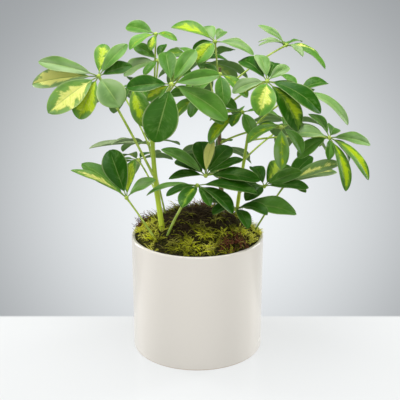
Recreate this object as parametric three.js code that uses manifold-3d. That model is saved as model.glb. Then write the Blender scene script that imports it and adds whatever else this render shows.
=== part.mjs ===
// A potted dwarf umbrella plant: a straight ceramic pot, soil, a mat of moss, three stems and a frond
// for each leaf. Millimetres, +Z up, origin at the centre of the pot's underside, front towards -Y.
import * as THREE from "three";
import { mergeVertices } from "three/addons/utils/BufferGeometryUtils.js";
import Module from "manifold-3d";

const wasm = await Module();
wasm.setup();

// Pot
const POT_RADIUS = 75;
const POT_HEIGHT = 134;
const POT_WALL = 4;
const POT_FLOOR = 6;
const FOOT_ROUND = 2;
const LIP_ROUND = 1.4;
const CORNER = 3;
const POT_SIDES = 36;
const ARC_STEPS = 2;

// Soil and moss. Neighbouring pieces keep a small gap.
const SEAT_GAP = 0.3;
const HOLE_GAP = 0.6;
const SOIL_EDGE = 118.5;
const SOIL_MOUND = 32;
const MOUND_RADIUS = 76;
const MOUND_CENTRE_Y = 4;
const MOSS_DEPTH = 10;
const MOSS_BUMP = 2.4;
const TUFTS = { share: 0.65, across: 7, along: 8, from: [1.3, 0.4] };
const RIPPLES = { share: 0.35, across: 3.1, along: 4.3 };
const SOIL_RINGS = [36, 70.6];
const MOSS_RINGS = [22, 42, 58, 70.6];
const MOUND_SIDES = 16;

// Stems and petioles
const STEM_STEPS = 10;
const STEM_SIDES = 8;
const NODE_SWELL = 1.14;
const NODE_EVERY = 3;
const PETIOLE_RADIUS = 1.25;
const PETIOLE_SIDES = 5;
const PETIOLE_STEPS = 3;
const PETIOLE_DEPTH = 12.5;
const SEAT_DEPTH = 0.7;
const HUB_RADIUS = 3.9;

// Leaflets. Angles are in degrees. A leaflet differs from its crown's own angles by a seeded draw.
const BLADE_THICK = 0.75;
const STALK_SHARE = 0.13;
const STALK_HALF = 0.65;
const STALK_THICK = { root: 1.3, blade: 0.98 };
const TIP_HALF = 2;
const ROOT_START = 2.1;
const BROAD = 0.46;
// The outline is a power of a sine. The first power moves its widest place outwards, the second
// makes its ends blunt.
const WIDEST = 1.25;
const BLUNT = 0.62;
const FOLD = 15;
const STAGGER = 9;
const SPREAD = { lift: 2, droop: 8, roll: 9, fold: 7, broad: 0.04 };
const LONG_LEAFLET = 64;
const LONG_STATIONS = [0.2, 0.52, 0.83, 1];
const SHORT_STATIONS = [0.25, 0.75, 1];
const FIRST_SEED = 101;

const GLAZE = { color: 0xe6dfd7, roughness: 0.3, metalness: 0 };
const EARTH = { color: 0x2e2016, roughness: 1, metalness: 0 };
const MOSS = { color: 0x6d6a22, roughness: 1, metalness: 0 };
const GREEN_STEM = { color: 0x8fa63c, roughness: 0.6, metalness: 0 };
const WOODY_STEM = { color: 0x6b5a34, roughness: 0.8, metalness: 0 };
const LEAF = { color: 0x3f7d26, roughness: 0.4, metalness: 0 };

// Each stem follows a cubic curve through the moss, from its foot in the soil to its growing tip.
const STEMS = {
  stem_left: {
    path: [[-33, -25, 100], [-43, -21, 185], [-55, -12, 235], [-46, 4, 305]],
    foot: 3.5, tip: 1.9, finish: GREEN_STEM,
  },
  stem_centre: {
    path: [[30, 2, 100], [28, 4, 185], [22, 10, 255], [24, 10, 322]],
    foot: 3.2, tip: 1.8, finish: WOODY_STEM,
  },
  stem_right: {
    path: [[42, 20, 100], [44, 20, 160], [54, 26, 215], [59, 29, 256]],
    foot: 2.4, tip: 1.5, finish: GREEN_STEM,
  },
};

// Each frond leaves its stem at a share of the stem's length, or grows from a spot [x, y] in the moss.
// Its crown stands at hub, with its axis leaning from the vertical towards a compass bearing (-90 is
// the front). bow raises the middle of its petiole, petiole is its radius where it is a stout one, and
// broad its leaflets' where they differ from the rest.
// A leaflet is [bearing in the crown, length, what it has of its own]. lift is the angle at which
// leaflets start above the crown's plane, droop is how far they turn down from there to the tip, and
// broad is a blade's width over its length.
const FRONDS = {
  frond_left_crown: {
    from: ["stem_left", 0.5], hub: [-102, -35, 320], lean: 55, bearing: -95, bow: 4, lift: 12, droop: 35,
    petiole: 1.6,
    leaflets: [
      [26, 38], [51, 47, { broad: 0.38 }], [86, 44], [164, 68, { broad: 0.27 }],
      [178, 79, { broad: 0.32 }], [220, 66, { broad: 0.48 }], [242, 50, { broad: 0.64 }],
      [304, 43, { broad: 0.78 }],
    ],
  },
  frond_top_left: {
    from: ["stem_left", 0.9], hub: [-42, 2, 331], lean: 42, bearing: -105, bow: 2, lift: 22, droop: 45,
    leaflets: [
      [78, 28], [140, 36], [188, 44, { broad: 0.56 }], [236, 26], [326, 44], [4, 30],
    ],
  },
  frond_front_crown: {
    from: ["stem_left", 0.78], hub: [-26, -60, 316], lean: 52, bearing: -88, bow: 8, lift: 10, droop: 32,
    leaflets: [
      [254, 62, { broad: 0.66 }], [186, 46, { broad: 0.52 }], [332, 68, { broad: 0.42 }],
      [10, 50, { broad: 0.36 }], [98, 50], [58, 46], [212, 30],
    ],
  },
  frond_top_centre: {
    from: ["stem_centre", 0.93], hub: [19, 0, 351], lean: 28, bearing: -75, bow: 0, lift: 16, droop: 50,
    leaflets: [
      [192, 26], [155, 54, { broad: 0.52 }], [108, 44], [66, 28], [6, 46, { broad: 0.52 }], [336, 46],
      [238, 36, { broad: 0.6 }],
    ],
  },
  frond_top_right: {
    from: ["stem_centre", 0.86], hub: [101, 60, 340], lean: 12, bearing: -60, bow: 8, lift: 20, droop: 60,
    broad: 0.3,
    leaflets: [
      [132, 48, { lift: 38, droop: 25 }], [170, 34], [85, 34], [200, 36], [4, 44], [298, 36],
      [326, 56], [45, 30],
    ],
  },
  frond_front_right: {
    from: ["stem_centre", 0.76], hub: [71, -55, 318], lean: 40, bearing: -80, bow: 8, lift: 15, droop: 55,
    leaflets: [
      [120, 52, { droop: 40, broad: 0.42 }], [98, 44], [72, 42, { broad: 0.38 }], [44, 34], [188, 39],
      [258, 46, { broad: 0.66 }], [309, 62, { broad: 0.48 }], [328, 66, { droop: 64, broad: 0.42 }],
      [356, 46, { broad: 0.36 }],
    ],
  },
  frond_right_crown: {
    from: ["stem_right", 0.85], hub: [143, -15, 250], lean: 32, bearing: -60, bow: 6, lift: 12, droop: 50,
    leaflets: [
      [66, 46], [4, 50], [346, 42, { droop: 72, broad: 0.36 }], [318, 66, { droop: 62, broad: 0.3 }],
      [270, 28], [184, 46, { broad: 0.6 }], [206, 44, { droop: 84, broad: 0.4 }], [112, 46],
      [297, 64, { droop: 66, broad: 0.3 }],
    ],
  },
  frond_right_hanging: {
    from: ["stem_centre", 0.6], hub: [89, -30, 265], lean: 15, bearing: -90, bow: 8, lift: 5, droop: 75,
    leaflets: [[268, 50, { broad: 0.38 }], [197, 42], [320, 38], [150, 42], [95, 44], [50, 42]],
  },
  frond_middle: {
    from: ["stem_right", 0.96], hub: [49, -5, 276], lean: 15, bearing: -110, bow: 4, lift: 10, droop: 60,
    leaflets: [[209, 52], [244, 30], [288, 36], [188, 38], [100, 42], [350, 40]],
  },
  frond_low_centre: {
    from: ["stem_centre", 0.42], hub: [9, -32, 212], lean: 20, bearing: -95, bow: 6, lift: 25, droop: 40,
    leaflets: [
      [128, 52, { broad: 0.56 }], [95, 50, { broad: 0.56 }], [76, 44, { lift: 58, broad: 0.26 }],
      [56, 52, { broad: 0.52 }], [352, 60], [152, 58], [174, 42, { broad: 0.5 }], [22, 46],
    ],
  },
  frond_low_front: {
    from: [-47, -32], hub: [0, -45, 205], lean: 15, bearing: -80, bow: 22, lift: 10, droop: 45,
    petiole: 1.7,
    leaflets: [
      [172, 60, { lift: 14, broad: 0.3 }], [352, 66], [328, 50], [250, 46], [300, 30],
      [215, 40, { broad: 0.36 }],
    ],
  },
  frond_low_left: {
    from: [-24, -42], hub: [-77, -32, 187], lean: 14, bearing: -150, bow: 4, lift: 42, droop: 28,
    leaflets: [
      [170, 68, { lift: 64, broad: 0.24 }], [150, 64, { broad: 0.4 }], [106, 62, { lift: 62, broad: 0.48 }],
      [68, 46, { broad: 0.38 }], [14, 38, { broad: 0.6 }],
    ],
  },
  frond_inner_left: {
    from: [-27, 8], hub: [-56, 28, 233], lean: 8, bearing: 150, bow: 6, lift: 20, droop: 45,
    leaflets: [
      [180, 68, { droop: 8, broad: 0.4 }], [212, 48], [140, 46], [80, 50], [35, 44], [250, 30],
    ],
  },
  frond_low_right: {
    from: [48, -6], hub: [101, 18, 188], lean: 20, bearing: -80, bow: 8, lift: 34, droop: 30,
    leaflets: [[20, 66], [355, 68], [52, 54], [112, 40, { lift: 0 }], [310, 32]],
  },
  frond_inner_right: {
    from: ["stem_right", 0.45], hub: [74, -12, 194], lean: 26, bearing: -80, bow: 6, lift: 22, droop: 40,
    leaflets: [[58, 56, { broad: 0.58 }], [350, 50], [104, 44], [20, 46], [170, 52], [235, 42]],
  },
  frond_lowest_right: {
    from: ["stem_centre", 0.28], hub: [42, -32, 174], lean: 12, bearing: -70, bow: 6, lift: 38, droop: 68,
    leaflets: [[352, 68, { broad: 0.6, droop: 52 }], [322, 44], [155, 40], [225, 40], [290, 38]],
  },
  frond_upper_right: {
    from: ["stem_right", 0.93], hub: [111, 10, 295], lean: 20, bearing: -60, bow: 8, lift: 15, droop: 50,
    leaflets: [
      [24, 38, { lift: 56, droop: 62, broad: 0.66 }], [325, 70, { droop: 68, broad: 0.34 }], [60, 44],
      [120, 40], [200, 34],
    ],
  },
  frond_upper_centre: {
    from: ["stem_left", 0.84], hub: [-2, 18, 330], lean: 14, bearing: 0, bow: 6, lift: 15, droop: 45,
    leaflets: [[168, 44], [125, 42], [80, 44], [32, 46, { broad: 0.5 }], [290, 26, { broad: 0.54 }]],
  },
  frond_inner_top: {
    from: ["stem_centre", 0.8], hub: [24, -22, 320], lean: 24, bearing: -90, bow: 4, lift: 15, droop: 50,
    leaflets: [[322, 40], [140, 28], [190, 42], [230, 42], [276, 42]],
  },
  frond_behind_left: {
    from: ["stem_left", 0.7], hub: [-70, -8, 306], lean: 20, bearing: -120, bow: 4, lift: 5, droop: 80,
    leaflets: [[285, 52], [238, 24], [150, 44], [90, 46], [335, 36]],
  },
  frond_back_left: {
    from: ["stem_left", 0.62], hub: [-88, 66, 285], lean: 35, bearing: 115, bow: 6, lift: 12, droop: 48,
    leaflets: [
      [200, 56], [155, 62], [110, 46, { droop: 16 }], [65, 60], [20, 50], [240, 34], [330, 34],
    ],
  },
  frond_back_top: {
    from: ["stem_centre", 0.72], hub: [8, 78, 318], lean: 38, bearing: 92, bow: 8, lift: 12, droop: 48,
    leaflets: [[180, 58], [135, 64], [95, 70], [50, 62], [5, 56], [320, 46], [225, 46], [270, 38]],
  },
  frond_back_right: {
    from: ["stem_right", 0.7], hub: [112, 84, 245], lean: 32, bearing: 50, bow: 6, lift: 12, droop: 50,
    leaflets: [[0, 58], [45, 66], [90, 62], [135, 56], [180, 52], [315, 50], [260, 42]],
  },
  frond_back_low_left: {
    from: ["stem_left", 0.38], hub: [-72, 80, 200], lean: 25, bearing: 120, bow: 6, lift: 18, droop: 45,
    leaflets: [[195, 56], [150, 62], [105, 60], [60, 54], [15, 44], [250, 38]],
  },
  frond_back_low: {
    from: ["stem_centre", 0.36], hub: [20, 88, 210], lean: 30, bearing: 88, bow: 8, lift: 15, droop: 45,
    leaflets: [[175, 50], [130, 60], [85, 66], [40, 60], [355, 50], [300, 40], [230, 42]],
  },
  frond_top_tip: {
    from: ["stem_left", 0.95], hub: [-45, 18, 357], lean: 30, bearing: -110, bow: 0, lift: 22, droop: 50,
    leaflets: [
      [152, 38, { lift: 32, droop: 30, broad: 0.62 }], [222, 38], [256, 24],
      [322, 32, { droop: 60, broad: 0.32 }],
    ],
  },
  frond_inner_front: {
    from: ["stem_centre", 0.68], hub: [6, -16, 296], lean: 30, bearing: -110, bow: 4, lift: 15, droop: 45,
    leaflets: [[340, 40], [165, 40], [205, 42], [250, 38], [298, 44]],
  },
};

const { degToRad, lerp } = THREE.MathUtils;

// A seeded sequence of draws between -1 and 1
function draws(seed) {
  const modulus = 2147483647;
  let state = seed;
  return () => {
    state = (state * 16807) % modulus;
    return (2 * state) / modulus - 1;
  };
}

function vector(numbers) {
  return new THREE.Vector3(...numbers);
}

function blend(a, alongA, b, alongB) {
  return a.clone().multiplyScalar(alongA).addScaledVector(b, alongB);
}

// A closed mesh as a solid that can be joined and cut
function solid(geometry) {
  const bare = geometry.index ? geometry.toNonIndexed() : geometry.clone();
  bare.deleteAttribute("normal");
  bare.deleteAttribute("uv");
  const merged = mergeVertices(bare, 1e-4);
  const shell = new wasm.Mesh({
    numProp: 3,
    vertProperties: merged.attributes.position.array,
    triVerts: new Uint32Array(merged.index.array),
  });
  return new wasm.Manifold(shell);
}

function namedMesh(name, made, finish) {
  const { vertProperties, triVerts } = made.getMesh();
  const geometry = new THREE.BufferGeometry();
  geometry.setAttribute("position", new THREE.BufferAttribute(vertProperties, 3));
  geometry.setIndex(new THREE.BufferAttribute(triVerts, 1));
  geometry.computeVertexNormals();
  const result = new THREE.Mesh(geometry, new THREE.MeshStandardMaterial(finish));
  result.name = name;
  return result;
}

function polygon(radius, sides) {
  const points = [];
  for (let k = 0; k < sides; k++) {
    const angle = (2 * Math.PI * k) / sides;
    points.push([radius * Math.cos(angle), radius * Math.sin(angle)]);
  }
  return points;
}

// A level ring of points round a middle
function levelRing(middle, radius, sides) {
  return polygon(radius, sides).map(([x, y]) => middle.clone().add(vector([x, y, 0])));
}

// A closed skin over rings of equally many points. A quad on one face of a blade is split along the
// same diagonal as the quad behind it, so that the two faces never meet.
function loft(rings) {
  const count = rings[0].length;
  const index = [];
  for (let i = 0; i + 1 < rings.length; i++) {
    for (let k = 0; k < count; k++) {
      const next = (k + 1) % count;
      const [a, b] = [i * count + k, i * count + next];
      const [d, c] = [a + count, b + count];
      if (k % 3 === 1) index.push(a, b, d, b, c, d);
      else index.push(a, b, c, a, c, d);
    }
  }
  const last = (rings.length - 1) * count;
  for (let k = 2; k < count; k++) {
    const next = (k + 1) % count;
    index.push(1, next, k);
    index.push(last + 1, last + k, last + next);
  }
  return solid(new THREE.BufferGeometry().setFromPoints(rings.flat()).setIndex(index));
}

// Pot, soil and moss
function arc(x, z, radius, from, to) {
  const points = [];
  for (let i = 0; i <= ARC_STEPS; i++) {
    const angle = degToRad(lerp(from, to, i / ARC_STEPS));
    points.push(new THREE.Vector2(x + radius * Math.cos(angle), z + radius * Math.sin(angle)));
  }
  return points;
}

function potSolid() {
  const inner = POT_RADIUS - POT_WALL;
  const profile = [
    new THREE.Vector2(0, 0),
    ...arc(POT_RADIUS - FOOT_ROUND, FOOT_ROUND, FOOT_ROUND, -90, 0),
    ...arc(POT_RADIUS - LIP_ROUND, POT_HEIGHT - LIP_ROUND, LIP_ROUND, 0, 90),
    ...arc(inner + LIP_ROUND, POT_HEIGHT - LIP_ROUND, LIP_ROUND, 90, 180),
    new THREE.Vector2(inner, POT_FLOOR + CORNER),
    new THREE.Vector2(inner - CORNER, POT_FLOOR),
    new THREE.Vector2(0, POT_FLOOR),
  ];
  return solid(new THREE.LatheGeometry(profile, POT_SIDES).rotateX(Math.PI / 2));
}

// The height of the mounded soil, highest a little behind the pot's centre
function soilHeight(x, y) {
  const share = Math.hypot(x, y - MOUND_CENTRE_Y) / MOUND_RADIUS;
  return SOIL_EDGE + SOIL_MOUND * Math.max(0, 1 - share * share);
}

function mossHeight(x, y) {
  const tufts = Math.sin(x / TUFTS.across + TUFTS.from[0]) * Math.sin(y / TUFTS.along + TUFTS.from[1]);
  const ripples = Math.sin(x / RIPPLES.across + y / RIPPLES.along);
  const relief = TUFTS.share * tufts + RIPPLES.share * ripples;
  return soilHeight(x, y) + MOSS_DEPTH + MOSS_BUMP * relief;
}

// A round body over rings [radius, height] on its underside, and radii with one height on its top
function mound(underside, radii, top) {
  const rings = [...underside, ...radii.map((radius) => [radius, top]).reverse()];
  const points = [vector([0, 0, underside[0][1](0, 0)])];
  for (const [radius, height] of rings) {
    for (const [x, y] of polygon(radius, MOUND_SIDES)) points.push(vector([x, y, height(x, y)]));
  }
  points.push(vector([0, 0, top(0, 0)]));
  const index = [];
  const last = 1 + (rings.length - 1) * MOUND_SIDES;
  for (let k = 0; k < MOUND_SIDES; k++) {
    const next = (k + 1) % MOUND_SIDES;
    index.push(0, 1 + next, 1 + k);
    index.push(last + k, last + next, points.length - 1);
    for (let i = 0; i + 1 < rings.length; i++) {
      const [a, b] = [1 + i * MOUND_SIDES + k, 1 + i * MOUND_SIDES + next];
      const [d, c] = [a + MOUND_SIDES, b + MOUND_SIDES];
      if (i < underside.length) index.push(a, b, c, a, c, d);
      else index.push(a, b, d, b, c, d);
    }
  }
  return solid(new THREE.BufferGeometry().setFromPoints(points).setIndex(index));
}

function soilSolid() {
  const bottom = POT_FLOOR + SEAT_GAP;
  const outer = SOIL_RINGS.at(-1);
  const underside = [[outer - CORNER, () => bottom], [outer, () => bottom + CORNER]];
  return mound(underside, SOIL_RINGS, soilHeight);
}

function mossSolid() {
  const bottom = (x, y) => soilHeight(x, y) + SEAT_GAP;
  return mound(SOIL_RINGS.map((radius) => [radius, bottom]), MOSS_RINGS, mossHeight);
}

// Stems
function stemCurve(stem) {
  return new THREE.CubicBezierCurve3(...stem.path.map(vector));
}

function stemRadius(stem, share) {
  return lerp(stem.foot, stem.tip, share);
}

// A stem, or with a clearance the hole it stands in. It swells a little where leaves have grown.
function stemSolid(stem, clearance = 0) {
  const curve = stemCurve(stem);
  const rings = [];
  for (let i = 0; i <= STEM_STEPS; i++) {
    const share = i / STEM_STEPS;
    const middle = curve.getPoint(share);
    if (i === 0) middle.z -= clearance;
    const swell = i % NODE_EVERY === 1 ? NODE_SWELL : 1;
    rings.push(levelRing(middle, stemRadius(stem, share) * swell + clearance, STEM_SIDES));
  }
  return loft(rings);
}

// Fronds
function growsFromMoss(frond) {
  return typeof frond.from[0] === "number";
}

// Where a petiole starts: in its hole in the soil, or inside its stem on the side of its hub
function petioleFoot(frond) {
  if (growsFromMoss(frond)) return vector([...frond.from, SOIL_EDGE - PETIOLE_DEPTH]);
  const [name, share] = frond.from;
  const stem = STEMS[name];
  const middle = stemCurve(stem).getPoint(share);
  const away = vector(frond.hub).sub(middle).setZ(0).normalize();
  return middle.addScaledVector(away, stemRadius(stem, share) * SEAT_DEPTH);
}

// A petiole whose foot is cut to the skin of the stem that carries it
function seatedPetiole(frond) {
  const petiole = petioleSolid(frond);
  return growsFromMoss(frond) ? petiole : petiole.subtract(stemSolid(STEMS[frond.from[0]], SEAT_GAP));
}

// A petiole, or with a clearance the hole it stands in
function petioleSolid(frond, clearance = 0) {
  const foot = petioleFoot(frond);
  foot.z -= clearance;
  const hub = vector(frond.hub);
  const control = foot.clone().lerp(hub, 0.5);
  control.z += frond.bow;
  const extrudePath = new THREE.QuadraticBezierCurve3(foot, control, hub);
  const corners = polygon((frond.petiole ?? PETIOLE_RADIUS) + clearance, PETIOLE_SIDES);
  const section = new THREE.Shape(corners.map(([x, y]) => new THREE.Vector2(x, y)));
  return solid(new THREE.ExtrudeGeometry(section, { steps: PETIOLE_STEPS, extrudePath }));
}

// The half width of a blade, as a share of its greatest half width, at a share of its length
function outline(share) {
  return Math.sin(Math.PI * share ** WIDEST) ** BLUNT;
}

// One leaflet with its stalk, from the hub outwards along radial. Its midrib is an arc that starts at
// the angle lift above the crown's plane and turns down by droop. It is rolled about its midrib, and
// its halves rise from the midrib by fold.
function leaflet(hub, axis, radial, length, shape) {
  const side = new THREE.Vector3().crossVectors(axis, radial);
  const ring = (share, half, thick, fold) => {
    const angle = shape.lift - shape.droop * share;
    const out = (length * (Math.sin(shape.lift) - Math.sin(angle))) / shape.droop;
    const up = (length * (Math.cos(angle) - Math.cos(shape.lift))) / shape.droop;
    const middle = hub.clone().addScaledVector(radial, out).addScaledVector(axis, up);
    const normal = blend(axis, Math.cos(angle), radial, -Math.sin(angle));
    const across = blend(side, Math.cos(shape.roll), normal, Math.sin(shape.roll));
    const face = blend(normal, Math.cos(shape.roll), side, -Math.sin(shape.roll));
    const rise = half * Math.tan(fold);
    const place = (x, z) => middle.clone().add(blend(across, x, face, z));
    const upper = [place(half, rise + thick / 2), place(0, thick / 2), place(-half, rise + thick / 2)];
    const lower = [place(-half, rise - thick / 2), place(0, -thick / 2), place(half, rise - thick / 2)];
    return [...upper, ...lower];
  };
  const root = ring(ROOT_START / length, STALK_HALF, STALK_THICK.root, 0);
  const rings = [root, ring(STALK_SHARE, STALK_HALF, STALK_THICK.blade, 0)];
  for (const station of length > LONG_LEAFLET ? LONG_STATIONS : SHORT_STATIONS) {
    const half = Math.max(TIP_HALF, (shape.width / 2) * outline(station));
    rings.push(ring(lerp(STALK_SHARE, 1, station), half, BLADE_THICK, shape.fold));
  }
  return loft(rings);
}

function frondSolid(frond, seed) {
  const hub = vector(frond.hub);
  const [lean, bearing] = [degToRad(frond.lean), degToRad(frond.bearing)];
  const level = vector([Math.cos(bearing), Math.sin(bearing), 0]);
  const axis = blend(level, Math.sin(lean), vector([0, 0, 1]), Math.cos(lean));
  const right = vector([1, 0, 0]).projectOnPlane(axis).normalize();
  const ahead = new THREE.Vector3().crossVectors(axis, right);
  const knob = new THREE.OctahedronGeometry(HUB_RADIUS).translate(...frond.hub);
  const draw = draws(seed);
  let made = seatedPetiole(frond).add(solid(knob));
  frond.leaflets.forEach(([angle, length, own = {}], order) => {
    const stagger = order % 2 ? STAGGER : -STAGGER;
    const shape = {
      lift: degToRad((own.lift ?? frond.lift) + stagger + SPREAD.lift * draw()),
      droop: degToRad((own.droop ?? frond.droop) + SPREAD.droop * draw()),
      roll: degToRad((own.roll ?? 0) + SPREAD.roll * draw()),
      fold: degToRad(FOLD + SPREAD.fold * draw()),
      width: length * (1 - STALK_SHARE) * ((own.broad ?? frond.broad ?? BROAD) + SPREAD.broad * draw()),
    };
    const turn = degToRad(angle);
    const radial = blend(right, Math.cos(turn), ahead, Math.sin(turn));
    made = made.add(leaflet(hub, axis, radial, length, shape));
  });
  return made;
}

const plant = new THREE.Group();
plant.add(namedMesh("pot", potSolid(), GLAZE));

let soil = soilSolid();
let moss = mossSolid();
const stemHoles = Object.values(STEMS).map((stem) => stemSolid(stem, SEAT_GAP));
const mossFronds = Object.values(FRONDS).filter(growsFromMoss);
const petioleHoles = mossFronds.map((frond) => petioleSolid(frond, HOLE_GAP));
for (const hole of [...stemHoles, ...petioleHoles]) {
  soil = soil.subtract(hole);
  moss = moss.subtract(hole);
}
plant.add(namedMesh("soil", soil, EARTH));
plant.add(namedMesh("moss", moss, MOSS));

for (const [name, stem] of Object.entries(STEMS)) {
  plant.add(namedMesh(name, stemSolid(stem), stem.finish));
}
Object.entries(FRONDS).forEach(([name, frond], order) => {
  plant.add(namedMesh(name, frondSolid(frond, FIRST_SEED + order), LEAF));
});

export default plant;
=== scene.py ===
import math

import bpy
import numpy as np
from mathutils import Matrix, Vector


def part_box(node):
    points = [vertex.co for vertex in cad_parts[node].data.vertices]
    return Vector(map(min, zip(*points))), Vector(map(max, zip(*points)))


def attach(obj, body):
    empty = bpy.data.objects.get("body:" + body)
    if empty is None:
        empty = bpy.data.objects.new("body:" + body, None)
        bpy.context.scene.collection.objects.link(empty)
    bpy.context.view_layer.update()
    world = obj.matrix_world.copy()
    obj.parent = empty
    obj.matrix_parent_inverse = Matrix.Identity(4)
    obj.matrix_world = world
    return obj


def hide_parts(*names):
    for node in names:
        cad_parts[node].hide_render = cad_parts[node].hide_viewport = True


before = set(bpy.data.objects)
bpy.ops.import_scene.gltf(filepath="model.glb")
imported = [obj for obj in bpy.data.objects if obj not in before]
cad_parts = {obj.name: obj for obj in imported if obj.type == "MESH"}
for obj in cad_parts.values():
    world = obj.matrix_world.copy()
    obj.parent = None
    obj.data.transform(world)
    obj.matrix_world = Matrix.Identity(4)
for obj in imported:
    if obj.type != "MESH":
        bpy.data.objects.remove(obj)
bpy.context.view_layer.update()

bl_info = {
    "name": "Potted Umbrella Plant",
    "version": (1, 0, 0),
    "blender": (4, 5, 0),
    "location": "3D View > Sidebar > Plant",
    "description": "A dwarf umbrella plant in a ceramic pot, made piece by piece",
    "category": "Add Mesh",
}

MM = 0.001

# The plant's own shape, in millimetres and degrees, the same as the solids have
SOIL_EDGE = 118.5
SOIL_MOUND = 32
MOUND_RADIUS = 76
MOUND_CENTRE_Y = 4
MOSS_DEPTH = 10
MOSS_BUMP = 2.4
TUFTS = dict(share=0.65, across=7, along=8, start=(1.3, 0.4))
RIPPLES = dict(share=0.35, across=3.1, along=4.3)
MOSS_RADIUS = 70.6
SEAT_GAP = 0.3
PETIOLE_DEPTH = 12.5
PETIOLE_RADIUS = 1.25
STALK_SHARE = 0.13
ROOT_START = 2.1
BROAD = 0.46
WIDEST = 1.25
BLUNT = 0.62
FOLD = 15
STAGGER = 9
SPREAD = dict(lift=2, droop=8, roll=9, fold=7, broad=0.04)
FIRST_SEED = 101
DRAW_FACTOR = 16807
DRAW_MODULUS = 2147483647
STEM_STEPS = 10
NODE_EVERY = 3
NODE_SWELL = 1.14
SEAT_DEPTH = 0.7

# What this finer model adds to that shape: sizes in millimetres, counts, and shares of a length
MAT_STEPS = 110
MAT_EDGE = dict(width=6, drop=3.0)
CLUMP_HEIGHT = 0.75
CLUMP_WAVES = (
    (0.72, 0.56, 0.3, 0.5), (-0.64, 0.88, 1.9, 0.4), (1.36, -1.04, 4.1, 0.35),
    (1.84, 1.52, 0.7, 0.25), (-1.12, -2.08, 2.2, 0.25), (2.72, -1.68, 5.0, 0.15),
)
STRAND_SEEDS = dict(feathers=41, fibres=42, curls=43)
STRAND_EDGE = 1.5
STRAND_ROOT = 1.5
MOSS_LEAF = dict(base=0.16, keel=0.12, out=0.75, ahead=0.6, up=0.2)
FEATHER_STEPS = 5
FIBRE_STEPS = 7
CURL_STEPS = 14
OUTWARD_RADIUS = 52
TUFT_STRANDS = 12
WALL_GAP = 0.6
OVER_LIP = 135.6
OVERHANG_KEPT = 0.65
MERGE_DISTANCE = 0.001 * MM
PATH_SAMPLES = 201
TUBE_RADIUS = 3
KNOT_WIDTH = 0.28
PETIOLE_SLIM = 0.85
FOOT_FLARE = dict(swell=0.5, reach=0.05)
HUB_FLARE = dict(swell=0.35, reach=0.06)
KNOB_RADIUS = 2.4
STALK_ROWS = 4
BLADE_ROWS = 20
ROW_CROWDING = 0.054
COLUMNS = (-1, -0.74, -0.46, -0.2, -0.06, 0, 0.06, 0.2, 0.46, 0.74, 1)
STALK_HALF = 0.6
STALK_THICK = 0.62
TIP_HALF = 0.3
CUP_START = 0.12
MIDRIB = dict(width=0.09, ridge=0.45, groove=0.12)
MARGIN_THINNING = 0.35
VEIN_SLANT = 0.17
RIB_PAIRS = 7.0
EXTRA_SEED = 5000
WAVING = dict(twist=0, wave=0.5, waves=1.6, phase=0, sway=0)
WAVING_SPREAD = dict(twist=7, wave=0.35, waves=0.5, phase=1, sway=0.018)
LOOK_SPREAD = dict(splash=0.15, side=0.2, cream=0.12, chance=1, dark=0.12)

# The stage, in metres, with the sensor in millimetres. A light is its size, its power, its place
# and the point that it faces.
FLOOR_SIZE = 24
FLOOR_EDGE = (0.060, 0.066)
POOL = dict(away=1.04, across=3.5, side=0.04, up=1.75, height=1.10, reach=1.25, fall=1.15)
LIGHTS = {
    "top_light": ((1.2, 1.0), 33, (-0.08, 0.0, 1.6), (0, 0, 0.2)),
    "key_light": ((1.2, 1.0), 8, (-0.2, -1.45, 1.1), (0, 0, 0.2)),
    "left_strip": ((0.35, 0.9), 9, (-1.0, 0.5, 0.3), (0, 0, 0.1)),
    "right_strip": ((0.35, 0.9), 10, (1.0, 0.5, 0.3), (0, 0, 0.1)),
}
SKY = dict(colour=(0.86, 0.88, 0.89, 1), strength=0.30)
SENSOR_WIDTH = 36
VIEW_END = 60

# Spots on the moss. Peat shows in the middle one. Each other spot is its centre, its reach and how
# lime its moss is, or how thickly dry curls lie there.
PEAT_CENTRE = (-4, 6)
PEAT_REACH = 44
LIME_SPOTS = (
    ((-60, -10), 25, 1.9), ((-45, -38), 20, 0.5), ((4, -54), 14, 1.2), ((26, -30), 11, 0.6),
    ((59, -6), 27, 1.9), ((58, -26), 13, 1.2), ((-22, -60), 12, 0.25), ((30, 60), 25, 0.4),
    ((-50, 40), 22, 0.4),
)
CURL_SPOTS = (
    ((-64, 20), 12, 2.0), ((8, 46), 16, 0.9), ((26, -51), 9, 0.55), ((42, -42), 11, 0.4),
    ((40, 52), 12, 0.6),
)

# The stems and the fronds of the solids. A stem is its curve, its radii at both ends and its finish.
STEMS = {
    "stem_left": dict(
        path=((-33, -25, 100), (-43, -21, 185), (-55, -12, 235), (-46, 4, 305)),
        foot=3.5, tip=1.9, slot="green_stem",
    ),
    "stem_centre": dict(
        path=((30, 2, 100), (28, 4, 185), (22, 10, 255), (24, 10, 322)),
        foot=3.2, tip=1.8, slot="woody_stem",
    ),
    "stem_right": dict(
        path=((42, 20, 100), (44, 20, 160), (54, 26, 215), (59, 29, 256)),
        foot=2.4, tip=1.5, slot="green_stem",
    ),
}


def leaflet_plan(crown, look, turn, size, broad=None, droop=None, lift=None):
    """A leaflet at a bearing in its crown. It has its crown's shape where it has none of its own."""
    own = dict(broad=broad, droop=droop, lift=lift)
    shape = {key: crown[key] if value is None else value for key, value in own.items()}
    return dict(shape, look=look, turn=turn, size=size)


def plan(grows, hub, lean, bearing, bow, lift, droop, *rows, broad=BROAD, petiole=PETIOLE_RADIUS):
    """A frond that grows from a share of a stem or a spot in the moss, with a row for each leaflet."""
    crown = dict(lift=lift, droop=droop, broad=broad)
    return dict(
        grows=grows, hub=hub, lean=lean, bearing=bearing, bow=bow, petiole=petiole,
        leaflets=[leaflet_plan(crown, *row) for row in rows],
    )


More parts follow.
